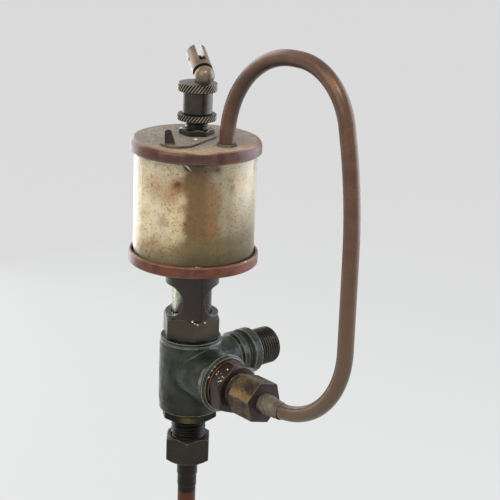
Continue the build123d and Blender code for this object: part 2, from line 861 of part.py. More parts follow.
pieces = {
    "tee_body": tee_body,
    "engine_nipple": engine_nipple,
    "cage_washer": cage_washer,
    "sight_cage": sight_cage,
    "lower_sight_washer": lower_sight_washer,
    "sight_glass": sight_glass,
    "upper_sight_washer": upper_sight_washer,
    "cup_base": cup_base,
    "drip_nozzle": drip_nozzle,
    "lower_gasket": lower_gasket,
    "glass_cup": glass_cup,
    "upper_gasket": upper_gasket,
    "lid": lid,
    "solder_ring": solder_ring,
    "centre_tube": centre_tube,
    "filler_cover": filler_cover,
    "lid_nut": lid_nut,
    "lock_ring": lock_ring,
    "adjusting_sleeve": adjusting_sleeve,
    "needle": needle,
    "lever_pin": lever_pin,
    "toggle_lever": toggle_lever,
    "side_washer": side_washer,
    "side_connector": side_connector,
    "side_nut": side_nut,
    "side_pipe_sleeve": side_pipe_sleeve,
    "balance_pipe": balance_pipe,
    "lower_washer": lower_washer,
    "lower_connector": lower_connector,
    "lower_nut": lower_nut,
    "lower_pipe_sleeve": lower_pipe_sleeve,
    "delivery_pipe": delivery_pipe,
}

os.makedirs("parts", exist_ok=True)
for name, piece in pieces.items():
    piece.part.label = name
    export_step(piece.part, f"parts/{name}.step")
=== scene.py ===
"""A sight-feed drip lubricator with its tee fitting, looped balance pipe and screwed unions.

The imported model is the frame: metres, +Z up, the origin at the middle of the seat. The camera,
the floor and the lamps are set in metres, and all other sizes are in millimetres.
"""

import math

import bpy
import numpy as np
from mathutils import Matrix, Vector


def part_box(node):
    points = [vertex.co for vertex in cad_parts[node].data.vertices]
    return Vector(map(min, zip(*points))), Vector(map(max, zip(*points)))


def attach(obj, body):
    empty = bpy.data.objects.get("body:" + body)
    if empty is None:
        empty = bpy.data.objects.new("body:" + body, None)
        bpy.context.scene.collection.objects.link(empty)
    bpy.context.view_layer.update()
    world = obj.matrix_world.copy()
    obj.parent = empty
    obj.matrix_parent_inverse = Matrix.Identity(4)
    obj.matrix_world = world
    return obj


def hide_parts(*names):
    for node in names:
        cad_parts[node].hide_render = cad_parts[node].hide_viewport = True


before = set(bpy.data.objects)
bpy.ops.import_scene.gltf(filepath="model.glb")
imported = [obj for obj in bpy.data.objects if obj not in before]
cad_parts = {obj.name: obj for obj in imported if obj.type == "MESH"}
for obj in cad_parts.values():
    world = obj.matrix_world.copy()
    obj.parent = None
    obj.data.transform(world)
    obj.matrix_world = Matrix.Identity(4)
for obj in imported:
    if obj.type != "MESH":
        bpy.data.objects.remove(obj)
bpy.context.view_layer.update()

# Sizes that several pieces share. Where the solids end is read from the frame, and what a box
# doesn't show is named here as in the solids.
cup_axis = (0.0, -34.0, 0.0)
fit_gap = 0.05


def ends(node, axis=2):
    """Where one of the frame's own pieces starts and ends along an axis, in mm."""
    return [round(1000 * corner[axis], 2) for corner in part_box(node)]


glass_radius = ends("glass_cup", 0)[1]

# The picture. A plain pale floor and surround, and four soft lamps: a tall window behind on
# the left, another on the right, a small lamp above and a weak one in front. The camera looks
# a little down on the cup and leans as the photograph does.


def linear(code):
    """A hex sRGB colour as linear RGBA: c / 12.92 near black, else ((c + 0.055) / 1.055) ^ 2.4."""
    shares = np.array([int(code[i : i + 2], 16) / 255 for i in (1, 3, 5)])
    curve = ((shares + 0.055) / 1.055) ** 2.4
    return (*np.where(shares <= 0.04045, shares / 12.92, curve), 1.0)


def add(tree, kind, inputs=(), out=0, **settings):
    """Adds a shader node with its settings, and gives back one of its output sockets. Its inputs
    are values or the sockets that feed them, in order, or by their names or numbers. A MapRange
    takes its value, the range that comes in and the one that goes out, which are 0 to 1 unless
    they are given. A Mix has its share at 0, two numbers at 2 and 3, and two colours at 6 and 7."""
    node = tree.nodes.new("ShaderNode" + kind)
    for name, value in settings.items():
        setattr(node, name, value)
    for key, value in inputs.items() if isinstance(inputs, dict) else enumerate(inputs):
        if isinstance(value, bpy.types.NodeSocket):
            tree.links.new(value, node.inputs[key])
        else:
            node.inputs[key].default_value = value
    return node.outputs[out] if node.outputs else node


# Settings that many nodes share.
times = {"operation": "MULTIPLY"}
minus = {"operation": "SUBTRACT"}
dot = {"out": "Value", "operation": "DOT_PRODUCT"}
soft = {"interpolation_type": "SMOOTHSTEP"}


def new_material(name):
    """An empty node material and its tree."""
    material = bpy.data.materials.new(name)
    material.use_nodes = True
    material.node_tree.nodes.clear()
    return material, material.node_tree


def seen_share(tree, share):
    """The share for rays that show a surface: the camera's, those of reflections and of glass."""
    seen = 0.0
    for kind in ("Camera", "Glossy", "Transmission"):
        path = add(tree, "LightPath", out=f"Is {kind} Ray")
        seen = add(tree, "Math", (seen, path), operation="MAXIMUM")
    return add(tree, "Math", (seen, share), **times)


camera_place = Vector((0.4181, -0.3784, 0.2234))
view_heading, view_dip, view_lean = (math.radians(angle) for angle in (48.0, 17.41, 2.37))
forward = Vector((
    -math.sin(view_heading) * math.cos(view_dip),
    math.cos(view_heading) * math.cos(view_dip),
    -math.sin(view_dip),
))
level_right = Vector((math.cos(view_heading), math.sin(view_heading), 0.0))
level_up = level_right.cross(forward)
right = level_right * math.cos(view_lean) + level_up * math.sin(view_lean)
up = level_up * math.cos(view_lean) - level_right * math.sin(view_lean)
camera = bpy.data.objects.new("camera", bpy.data.cameras.new("camera"))
camera.data.sensor_width = 36.0
camera.data.lens = 97.2
camera.data.clip_end = 50.0
bpy.context.collection.objects.link(camera)
camera_turn = Matrix((right, up, -forward)).transposed().to_4x4()
camera.matrix_world = Matrix.Translation(camera_place) @ camera_turn
bpy.context.scene.camera = camera
bpy.context.scene.view_settings.view_transform = "Standard"

floor_height, floor_reach = -0.46, 9
floor_corners = [
    (floor_reach * x, floor_reach * y, floor_height) for x, y in ((-1, -1), (1, -1), (1, 1), (-1, 1))
]
floor_mesh = bpy.data.meshes.new("floor")
floor_mesh.from_pydata(floor_corners, [], [(0, 1, 2, 3)])
floor = bpy.data.objects.new("floor", floor_mesh)
bpy.context.collection.objects.link(floor)
painted_floor, tree = new_material("matt_floor_paint")
paint = add(tree, "BsdfDiffuse", {"Color": linear("#dfe0de")})
pale = add(tree, "Emission", {"Color": linear("#eeefef"), "Strength": 0.9})
painted = add(tree, "MixShader", (seen_share(tree, 0.8), paint, pale))
add(tree, "OutputMaterial", {"Surface": painted})
floor_mesh.materials.append(painted_floor)

surround = bpy.data.worlds.new("surround")
surround.use_nodes = True
surround.node_tree.nodes.clear()
sky = add(surround.node_tree, "Background", {"Color": linear("#f5f4f1"), "Strength": 0.62})
add(surround.node_tree, "OutputWorld", {"Surface": sky})
bpy.context.scene.world = surround
lamp_target = Vector((0, -0.034, 0.05))


def lamp(name, toward, distance, width, height, watts, colour):
    """A soft rectangular lamp that faces the lubricator's middle from a direction and distance."""
    data = bpy.data.lights.new(name, "AREA")
    data.shape = "RECTANGLE"
    data.size, data.size_y = width, height
    data.energy = watts
    data.color = linear(colour)[:3]
    holder = bpy.data.objects.new(name, data)
    holder.visible_camera = False
    bpy.context.collection.objects.link(holder)
    direction = Vector(toward).normalized()
    turn = direction.to_track_quat("Z", "Y").to_matrix().to_4x4()
    holder.matrix_world = Matrix.Translation(lamp_target + direction * distance) @ turn


lamp("window_behind", (-1.0, 0.03, 0.17), 1.3, 1.3, 1.4, 13.0, "#f6f8ff")
lamp("window_right", (0.36, 0.93, 0.215), 1.0, 1.1, 0.97, 9.7, "#dfe8ff")
lamp("lamp_above", (0.48, -0.21, 0.86), 1.0, 0.3, 0.3, 2.6, "#fff6ea")
lamp("lamp_front", (0.07, -0.75, 0.6), 1.0, 0.8, 0.8, 3.8, "#fffaf0")

# The tee: an iron casting, a barrel with a wide side boss and a branch that runs back to the
# seat. It was cast in sand, machined at its faces and brushed with dark green enamel, which is
# now wet with oil and greener on the boss's face. Painted shade darkens its corners, where grime
# lies too, and its lower part. Its rims are pale: the enamel is rubbed there, and a painted wet highlight
# runs along them.
boss_face, side_foot = ends("side_washer", 0)


def surface_marks(tree, seed, rounding, reach, closed=(0.72, 0.35)):
    """What use leaves on a hard surface, as sockets: its place in mm, that place moved aside for
    the noises, the normal of its rounded edges, edge (how far that normal leaves the face's own),
    corner (how much of the view within `reach` mm is closed off) and a cloud about 6 mm wide."""
    place = add(tree, "TexCoord", out="Object")
    place = add(tree, "VectorMath", {"Vector": place, "Scale": 1000.0}, operation="SCALE")
    spot = add(tree, "VectorMath", (place, (seed * 37.0, seed * 11.0, seed * 5.0)))
    own = add(tree, "NewGeometry", out="Normal")
    rounded = add(tree, "Bevel", {"Radius": rounding * 0.001}, samples=4)
    match = add(tree, "VectorMath", (own, rounded), **dot)
    edge = add(tree, "MapRange", (match, 0.995, 0.93))
    view = add(tree, "AmbientOcclusion", {"Distance": reach * 0.001}, out="AO", samples=6)
    corner = add(tree, "MapRange", (view, closed[0], closed[1]))
    cloud = add(tree, "TexNoise", {"Vector": spot, "Scale": 1 / 6, "Detail": 4.0})
    return place, spot, rounded, edge, corner, cloud


def layered(tree, ground, *layers):
    """A colour built up in layers: each (share, colour) lies over all that is before it."""
    colour = linear(ground) if isinstance(ground, str) else ground
    for share, over in layers:
        over = linear(over) if isinstance(over, str) else over
        colour = add(tree, "Mix", {0: share, 6: colour, 7: over}, out=2, data_type="RGBA")
    return colour


def dress(node, material):
    """Puts a finish on one of the frame's own pieces."""
    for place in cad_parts[node].material_slots:
        place.material = material


green_enamel, tree = new_material("oily_green_enamel")
place, spot, rounded, edge, corner, cloud = surface_marks(tree, 1, 0.5, 3.0)
mottle = add(tree, "TexNoise", {"Vector": spot, "Scale": 1 / 2.2, "Detail": 5.0, "Roughness": 0.65})
run_place = add(tree, "VectorMath", (spot, (1, 1, 0.18)), **times)
runs = add(tree, "TexNoise", {"Vector": run_place, "Scale": 1 / 1.4, "Detail": 3.0})
cloudy = add(tree, "MapRange", (cloud, 0.38, 0.64))
dirty = add(tree, "MapRange", (mottle, 0.52, 0.7))
run = add(tree, "MapRange", (runs, 0.6, 0.75, 0, 0.45))
# Painted shade: the enamel darkens towards the bottom, from 2 mm down to -16 mm.
height = add(tree, "SeparateXYZ", (place,), out=2)
painted_low_shade = add(tree, "MapRange", (height, 2.0, -16.0, 0, 0.9))
# Pale rims along the edges: rubbed enamel, and a painted wet highlight.
pale_edge = add(tree, "Math", (edge, mottle), **times)
pale_edge = add(tree, "MapRange", (pale_edge, 0.14, 0.38, 0, 0.9))
sideways = add(tree, "SeparateXYZ", (place,))
on_face = add(tree, "MapRange", (sideways, boss_face - 0.4, boss_face - 0.05, 0, 0.8))
# Corners where the view is closed off are darkened: grime and painted shade both.
colour = layered(
    tree, "#1c2219", (cloudy, "#2a3022"), (dirty, "#171812"), (run, "#3a4134"),
    (painted_low_shade, "#0d0e0a"), (on_face, "#24351f"), (pale_edge, "#a9ad9b"), (corner, "#0c0c08"),
)
gloss = add(tree, "MapRange", (mottle, 0.3, 0.7, 0.3, 0.6))
wet = add(tree, "MapRange", (cloud, 0.35, 0.6, 0.2, 0.7))
lumps = add(tree, "TexNoise", {"Vector": spot, "Scale": 1 / 3.0})
sandy = add(tree, "Bump", {"Height": mottle, "Distance": 0.00012, "Strength": 0.5, "Normal": rounded})
uneven = add(tree, "Bump", {"Height": lumps, "Distance": 0.0012, "Strength": 0.4, "Normal": sandy})
shader = add(tree, "BsdfPrincipled", {
    "Base Color": colour, "Roughness": gloss, "Specular IOR Level": 0.18, "Normal": uneven,
    "Coat Weight": wet, "Coat Roughness": 0.09, "Coat IOR": 1.47,
})
add(tree, "OutputMaterial", {"Surface": shader})
dress("tee_body", green_enamel)

# The nipple: steel, turned and threaded 19 to the inch, and half screwed into the tee. The
# other half stands out of the seat. It is dark with oil, and bright along its crests.


def aged_metal(
    name, seed, body, dark, bare, metallic=0.75, roughness=(0.32, 0.58), wear=0.8,
    dust=None, dusting=0.0, slope=(0.55, 0.98), coat=0.2, level=0.4, grain=0.03,
    rounding=0.35, reach=2.0, closed=(0.72, 0.35), lathe=None, tint=None,
):
    """Tarnished metal. Body and dark tarnish are mixed by clouds and by specks under 1 mm. `bare`
    metal shows along edges by `wear`, faces that look down are darkened by painted shade, corners
    are blackened by dirt and painted shade both, and `dust`, coarse and fine, lies on what faces
    up by `dusting`, between the two shares in `slope`.
    `coat` is its film of oil, `level` how strongly it mirrors, `grain` the depth in mm of its
    bumps and `lathe` the axis of fine turning rings, 0.3 mm apart. The rest is as in
    surface_marks. `tint(tree, place, height, colour, fine)` may lay a stain of the piece's own."""
    material, tree = new_material(name)
    place, spot, rounded, edge, corner, cloud = surface_marks(tree, seed, rounding, reach, closed)
    fine = add(tree, "TexNoise", {"Vector": spot, "Scale": 1 / 0.7, "Detail": 4.0, "Roughness": 0.7})
    if lathe:
        along = add(tree, "VectorMath", (place, lathe), **dot)
        rings = add(
            tree, "TexNoise", {"W": along, "Scale": 1 / 0.3, "Detail": 3.0}, noise_dimensions="1D"
        )
        fine = add(tree, "Mix", {0: 0.4, 2: fine, 3: rings})
    patch = add(tree, "MapRange", (cloud, 0.4, 0.62))
    speck = add(tree, "MapRange", (fine, 0.5, 0.6, 0, 0.8))
    pale_edge = add(tree, "Math", (edge, fine), **times)
    pale_edge = add(tree, "MapRange", (pale_edge, 0.2, 0.45, 0, wear))
    up_share = add(tree, "SeparateXYZ", (add(tree, "NewGeometry", out="Normal"),), out=2)
    # Painted shade: faces that look down are darkened.
    underside_shade = add(tree, "MapRange", (up_share, 0, -0.6, 0, 0.65))
    colour = layered(tree, body, (patch, dark), (speck, dark), (pale_edge, bare), (underside_shade, "#15110d"))
    if tint:
        height = add(tree, "SeparateXYZ", (place,), out=2)
        colour = tint(tree, place, height, colour, fine)
    # Corners where the view is closed off are darkened: grime and painted shade both.
    grime_and_shade = add(tree, "Math", (corner, 0.88), **times)
    colour = layered(tree, colour, (grime_and_shade, "#120e0a"))
    metal = add(tree, "MapRange", (grime_and_shade, 0, 1, metallic, 0))
    matt = add(tree, "MapRange", (fine, 0.3, 0.7, roughness[0], roughness[1]))
    wet = add(tree, "MapRange", (cloud, 0.35, 0.6, 0.4 * coat, coat))
    if dust:
        flat = add(tree, "MapRange", (up_share, slope[0], slope[1], 0, dusting))
        thick = add(tree, "MapRange", (cloud, 0.3, 0.6, 0.6, 1))
        lying = add(tree, "Math", (flat, thick), **times)
        grains = {"Vector": spot, "Scale": 1 / 0.45, "Detail": 3.0, "W": 3.0}
        grit = add(tree, "TexNoise", grains, noise_dimensions="4D")
        gritty = add(tree, "MapRange", (grit, 0.4, 0.6))
        colour = layered(tree, colour, (lying, layered(tree, dust[0], (gritty, dust[1]))))
        metal = add(tree, "MapRange", (lying, 0, 1, metal, 0))
        matt = add(tree, "MapRange", (lying, 0, 1, matt, 0.95))
        wet = add(tree, "MapRange", (lying, 0, 1, wet, 0))
    bump = add(tree, "Bump", {"Height": fine, "Distance": grain * 0.001, "Normal": rounded})
    shader = add(tree, "BsdfPrincipled", {
        "Base Color": colour, "Metallic": metal, "Roughness": matt, "Specular IOR Level": level,
        "Normal": bump, "Coat Weight": wet, "Coat Roughness": 0.12, "Coat IOR": 1.47,
    })
    add(tree, "OutputMaterial", {"Surface": shader})
    return material


def outline(corners, rounding, spacing, fine=None):
    """A closed profile of (radius, height) points, counter-clockwise. Each corner is the parabola
    (1-t)^2 a + 2t(1-t) c + t^2 b, whose ends lie `rounding` along its two edges, or 0.45 of the
    shorter one. The loop is then divided about every `spacing`. `fine` is (low, high, inner, step),
    and divides it by `step` between two heights, outside the radius `inner`."""
    c = np.array(corners, float)
    back, on = np.roll(c, 1, axis=0) - c, np.roll(c, -1, axis=0) - c
    lengths = np.linalg.norm(back, axis=1), np.linalg.norm(on, axis=1)
    cut = np.minimum(rounding, 0.45 * np.minimum(*lengths))[:, None]
    a, b = c + back / lengths[0][:, None] * cut, c + on / lengths[1][:, None] * cut
    t = np.linspace(0, 1, 5)[None, :, None]
    arcs = (1 - t) ** 2 * a[:, None] + 2 * t * (1 - t) * c[:, None] + t**2 * b[:, None]
    loop = arcs.reshape(-1, 2)
    closed = np.vstack([loop, loop[:1]])
    steps = np.linalg.norm(np.diff(closed, axis=0), axis=1)
    along = np.concatenate([[0], np.cumsum(steps)])
    stops = np.arange(0, along[-1], spacing)
    if fine:
        low, high, inner, step = fine
        extra = np.arange(0, along[-1], step)
        radius = np.interp(extra, along, closed[:, 0])
        height = np.interp(extra, along, closed[:, 1])
        extra = extra[(height > low) & (height < high) & (radius > inner)]
        stops = np.concatenate([stops, extra])
    stops = np.unique(np.concatenate([stops, along[:-1]]).round(4))
    stops = stops[stops < along[-1] - 0.01]
    stops = stops[np.concatenate([[True], np.diff(stops) > 0.012])]
    return np.stack([np.interp(stops, along, closed[:, k]) for k in (0, 1)], axis=1)


def surface_piece(name, points, faces):
    """A smooth mesh piece from points in millimetres and an array of faces."""
    mesh = bpy.data.meshes.new(name)
    mesh.vertices.add(len(points))
    mesh.vertices.foreach_set("co", (points * 0.001).astype(np.float32).ravel())
    mesh.loops.add(faces.size)
    mesh.loops.foreach_set("vertex_index", faces.astype(np.int32).ravel())
    mesh.polygons.add(len(faces))
    starts = np.arange(0, faces.size, faces.shape[1], dtype=np.int32)
    mesh.polygons.foreach_set("loop_start", starts)
    mesh.update(calc_edges=True)
    mesh.validate()
    mesh.shade_smooth()
    piece = bpy.data.objects.new(name, mesh)
    bpy.context.collection.objects.link(piece)
    return piece


def turned(name, profile, axis="Z", foot=cup_axis, around=240, shape=None):
    """A turned piece: the profile's point (r, h) at angle a lies at foot + h along the axis
    + r (cos a, sin a) across it. `shape(r, h, a)` gives the worked radius in place of r."""
    along, across, over = {
        "Z": ((0, 0, 1), (1, 0, 0), (0, 1, 0)),
        "X": ((1, 0, 0), (0, 1, 0), (0, 0, 1)),
        "Y": ((0, 1, 0), (0, 0, 1), (1, 0, 0)),
    }[axis]
    angle = np.linspace(0, 2 * math.pi, around, endpoint=False)[None, :]
    radius, height = profile[:, :1] + 0 * angle, profile[:, 1:] + 0 * angle
    if shape:
        radius = shape(radius, height, angle + 0 * radius)
    points = (
        np.array(foot)
        + height[..., None] * np.array(along)
        + (radius * np.cos(angle))[..., None] * np.array(across)
        + (radius * np.sin(angle))[..., None] * np.array(over)
    )
    rows, columns = radius.shape
    first = np.arange(rows * columns).reshape(rows, columns)
    beside, above = np.roll(first, -1, axis=1), np.roll(first, -1, axis=0)
    faces = np.stack([first, beside, np.roll(above, -1, axis=1), above], axis=-1)
    return surface_piece(name, points.reshape(-1, 3), faces.reshape(-1, 4))


def threaded(radius, height, angle, pitch, depth, crest, low, high):
    """The radius with a right-handed thread cut in it: a triangle wave of
    height / pitch - angle / turn, with flats of a tenth of the pitch, `depth` deep below `crest`.
    It fades out at both ends, and leaves what is not within 0.3 mm of `crest` as it is."""
    phase = (height / pitch - angle / (2 * math.pi)) % 1.0
    wave = np.abs(2 * phase - 1)
    wave = np.clip((wave - 0.5) * 1.25 + 0.5, 0, 1)
    fade = 0.4 * pitch
    within = np.clip((height - low) / fade, 0, 1) * np.clip((high - height) / fade, 0, 1)
    on_crest = np.clip((radius - (crest - 0.3)) / 0.25, 0, 1)
    return radius - depth * wave * within * on_crest


def lay(piece, material, body="fixed_body"):
    """Finishes a piece of this script's own, which moves with a body of the frame."""
    piece.data.materials.append(material)
    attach(piece, body)


def fit(piece, node, material, body="fixed_body"):
    """Finishes a piece that stands for a plain one of the frame and moves as that one does."""
    lay(piece, material, body)
    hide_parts(node)


start, end = ends("engine_nipple", 1)
crest = ends("engine_nipple")[1]
bore, groove, bevel, pitch = 5.7, 0.6, 0.8, 1.34
corners = [
    (bore, start), (crest, start), (crest, -groove), (crest - groove, -groove), (crest - groove, groove),
    (crest, 2 * groove), (crest, end - bevel), (crest - bevel, end), (bore, end),
]
nipple = turned(
    "nipple", outline(corners, 0.1, 0.8, fine=(1.0, end, 7.0, 0.16)), axis="Y",
    foot=(0, 0, 0), around=160,
    shape=lambda r, h, a: threaded(r, h, a, pitch, 0.75, crest, 1.0, end + 0.4),
)
oiled_steel = aged_metal("oiled_steel_nipple", 2, "#3c3833", "#221f1b", "#8b857b", coat=0.4)
fit(nipple, "engine_nipple", oiled_steel)

# The sight cage: brass bar, turned, bored for the glass and milled with two wide windows, with
# a hexagon for the spanner. It stands on a copper washer in the top of the tee. Fibre washers
# seal the short glass tube inside it, through which the drops are counted as they fall.
cage_foot = ends("cage_washer")[1]
cage_shoulder = cage_foot + 8.85


def olive_hexagon(tree, place, height, colour, fine):
    """The hexagon is more olive than the neck, and black with oil at its foot."""
    low = add(tree, "MapRange", (height, cage_shoulder + 0.1, cage_shoulder - 0.6, 0, 0.85))
    ragged = add(tree, "MapRange", (fine, 0, 1, -1.5, 1.5))
    ragged = add(tree, "Math", (height, ragged))
    foot = add(tree, "MapRange", (ragged, cage_foot + 2.65, cage_foot + 0.65, 0, 0.7))
    return layered(tree, colour, (low, "#453a2a"), (foot, "#1a1b17"))


dress("cage_washer", aged_metal("oil_black_copper_washer", 4, "#2b211b", "#17120f", "#6a4c3a", coat=0.5))
dress("sight_cage", aged_metal(
    "blackened_brass_cage", 3, "#3d322b", "#2a2420", "#a39a84",
    metallic=0.5, roughness=(0.34, 0.58), coat=0.5, lathe=(0, 0, 1), tint=olive_hexagon,
))

fibre, tree = new_material("oil_soaked_fibre")
place = add(tree, "TexCoord", out="Object")
fluff = add(tree, "TexNoise", {"Vector": place, "Scale": 1800.0, "Detail": 3.0})
colour = layered(tree, "#231a14", (fluff, "#40322a"))
pressed = add(tree, "Bump", {"Height": fluff, "Distance": 0.00006, "Strength": 0.8})
shader = add(tree, "BsdfPrincipled", {"Base Color": colour, "Roughness": 0.75, "Normal": pressed})
add(tree, "OutputMaterial", {"Surface": shader})
for name in ("lower_sight_washer", "upper_sight_washer", "lower_gasket", "upper_gasket"):
    dress(name, fibre)


def clear_glass(name, smear_width, tint, shade, dark_side_tint=None):
    """Glass of IOR 1.5, smeared with grease in patches, that lets light through to what is
    inside it: a shadow ray meets plain tinted air in its place. The last tint, if given, is a
    painted shade laid on the half towards the seat, for the dark seen through the glass there."""
    material, tree = new_material(name)
    place = add(tree, "TexCoord", out="Object")
    smear = add(tree, "TexNoise", {"Vector": place, "Scale": 1000 / smear_width, "Detail": 5.0})
    greasy = add(tree, "MapRange", (smear, 0.35, 0.65, 0.1, 0.25))
    tint = linear(tint)
    if dark_side_tint:
        # Painted shade: the half towards the seat is tinted dark.
        across = (669.0, 743.0, 0.0)  # at a heading of 48 degrees, where the cup's axis is at -25.3
        side = add(tree, "VectorMath", (place, across), **dot)
        dark_side = add(tree, "MapRange", (side, -25.0, -22.0))
        tint = layered(tree, tint, (dark_side, dark_side_tint))
    pane = add(tree, "BsdfPrincipled", {
        "Base Color": tint, "Roughness": greasy, "IOR": 1.5, "Transmission Weight": 1.0,
    })
    clear = add(tree, "BsdfTransparent", {"Color": linear(shade)})
    shadow = add(tree, "LightPath", out="Is Shadow Ray")
    through = add(tree, "MixShader", (shadow, pane, clear))
    add(tree, "OutputMaterial", {"Surface": through})
    return material


# The sight glass's last tint is painted shade on its side towards the seat.
dress("sight_glass", clear_glass("drawn_sight_glass", 4.0, "#c3c5ae", "#b9bca6", "#171811"))

# The cup base: red brass, turned to a dish with a lip that holds the glass, and a plug below
# that screws into the cage. Its rim is brown-red and rubbed, and oil lies wet along the lip.
# The drip nozzle screws up into the plug, and its small hole lets the drops fall.
dress("cup_base", aged_metal(
    "red_brass_base", 5, "#7c4936", "#573327", "#c09a7c",
    metallic=0.5, roughness=(0.34, 0.55), wear=0.8, coat=0.4, lathe=(0, 0, 1),
))
dress("drip_nozzle", aged_metal("brass_nozzle", 6, "#6a5436", "#40331f", "#a58a58"))

# The glass cup: thick pressed glass, ground flat at both ends and held between gaskets. The
# outside is clear, and the inside carries years of dried oil: a cloudy cream skin with rust
# specks, olive below the old oil level, and brown where it ran down from the lid. The widest
# brown band, on the front, is painted shade for the centre tube seen through the skin.
dress("glass_cup", clear_glass("pressed_cup_glass", 7.0, "#ffffff", "#fbfaf4"))

foot, top = ends("glass_cup")
inside, outside, margin = glass_radius - 2.99, glass_radius - 2.95, 0.4
corners = [
    (inside, foot + margin), (outside, foot + margin), (outside, top - margin), (inside, top - margin),
]
oil_skin = turned("oil_skin", outline(corners, 0.01, 1.5), around=180)
dried_oil, tree = new_material("dried_oil_skin")
place = add(tree, "TexCoord", out="Object")
spot = add(tree, "VectorMath", {"Vector": place, "Scale": 1000.0}, operation="SCALE")
centred = add(tree, "VectorMath", (spot, cup_axis), **minus)
height = add(tree, "SeparateXYZ", (spot,), out=2)
wide = add(tree, "TexNoise", {"Vector": spot, "Scale": 1 / 9, "Detail": 4.0, "Roughness": 0.6})
small = add(tree, "TexNoise", {"Vector": spot, "Scale": 1 / 1.3, "Detail": 5.0, "Roughness": 0.75})
flecks = {"Vector": spot, "Scale": 1 / 0.55, "W": 4.0}
dots = add(tree, "TexNoise", flecks, noise_dimensions="4D")
drift = add(tree, "MapRange", (wide, 0, 1, -4.5, 4.5))
fray = add(tree, "MapRange", (small, 0, 1, -2.5, 2.5))


def out_towards(heading):
    """How far a point of the skin lies from the cup's axis towards a heading, in mm."""
    a = math.radians(heading)
    way = (math.cos(a), math.sin(a), 0.0)
    return add(tree, "VectorMath", (centred, way), **dot)


yellowed = add(tree, "MapRange", (wide, 0.35, 0.65))
cloudy = add(tree, "MapRange", (small, 0.48, 0.62, 0, 0.7))
colour = layered(tree, "#fffbee", (yellowed, "#f7eac4"), (cloudy, "#dcc690"))
solid = add(tree, "MapRange", (small, 0.35, 0.65, 0.5, 0.7))

# Runs that came down from the lid: heading, half width inside and at the edge, foot, top, the
# length over which the top fades, share and colour. The first, the wide band on the front, is
# painted shade: the dark of the centre tube seen through the skin.
for heading, inner, outer, foot, top, fade, share, code in (
    (-35.0, 3.5, 7.0, 40.0, 98.5, 4.0, 0.9, "#936d35"),
    (-19.0, 0.6, 2.4, 58.0, 90.0, 6.0, 0.75, "#b0762f"),
    (-8.0, 2.0, 5.0, 46.0, 93.0, 4.0, 0.5, "#8a8568"),
    (22.0, 3.0, 14.0, 40.0, 84.0, 30.0, 0.9, "#5b4c4a"),
    (150.0, 4.0, 9.0, 52.0, 96.0, 4.0, 0.5, "#a5834a"),
):
    wander = add(tree, "Math", (fray, drift))
    wander = add(tree, "Math", (out_towards(heading + 90.0), wander))
    beside = add(tree, "Math", (wander,), operation="ABSOLUTE")
    width = (beside, outer + 1.2, inner, 0.0, share)
    band = add(tree, "MapRange", width, **soft)
    near = add(tree, "MapRange", (out_towards(heading), 0, 5.0))
    above = add(tree, "MapRange", (height, foot, foot + 8.0))
    below = add(tree, "MapRange", (height, top, top - fade))
    for limit in (near, above, below):
        band = add(tree, "Math", (band, limit), **times)
    colour = layered(tree, colour, (band, code))
    solid = add(tree, "Mix", {0: band, 2: solid, 3: 0.72})

# The old oil level, which stands 9 mm higher on the side of the pipe, and the tan tide mark
# that it left over its low end.
pipe_side = out_towards(40.0)
sunk = add(tree, "MapRange", (pipe_side, -18.0, 4.0, 8.5, -0.5))
level = add(tree, "Math", (height, sunk))
level = add(tree, "Math", (level, drift))
ragged = add(tree, "Math", (level, fray))
tide = add(tree, "MapRange", (ragged, 70.5, 67.0))
low_end = add(tree, "MapRange", (pipe_side, -8.0, -12.0))
over_oil = add(tree, "MapRange", (ragged, 63.5, 66.5, 0, 0.6))
for limit in (low_end, over_oil):
    tide = add(tree, "Math", (tide, limit), **times)
under_oil = add(tree, "MapRange", (level, 67.0, 61.0, 0, 0.85), **soft)
deep = add(tree, "MapRange", (level, 60.0, 53.0, 0, 0.7), **soft)
colour = layered(tree, colour, (tide, "#c79c58"), (under_oil, "#a39668"), (deep, "#6e5d38"))
solid = add(tree, "Mix", {0: under_oil, 2: solid, 3: 0.68})

# Stains: place, size and how strong, first the dark one near the lid.
for centre, size, depth, code in (
    ((12.2, -52.8, 86.0), 5.6, 1.0, "#a8620c"),
    ((12.6, -52.6, 86.8), 2.4, 1.0, "#74400c"),
    ((3.7, -56.1, 84.4), 8.0, 0.6, "#c8964c"),
    ((9.5, -54.3, 81.0), 7.0, 0.6, "#c08c42"),
    ((6.9, -55.3, 70.6), 4.5, 0.5, "#ad7f42"),
    ((22.4, -34.3, 84.8), 1.9, 0.8, "#93663e"),
    ((21.4, -40.7, 93.0), 4.5, 0.7, "#6e5330"),
    ((17.5, -48.0, 94.5), 5.0, 0.6, "#66583e"),
):
    gap = add(tree, "VectorMath", (spot, centre), out="Value", operation="DISTANCE")
    ragged = add(tree, "Math", (gap, fray))
    stain = add(tree, "MapRange", (ragged, size, -0.5, 0, depth), **soft)
    colour = layered(tree, colour, (stain, code))
    solid = add(tree, "Mix", {0: stain, 2: solid, 3: 0.85})

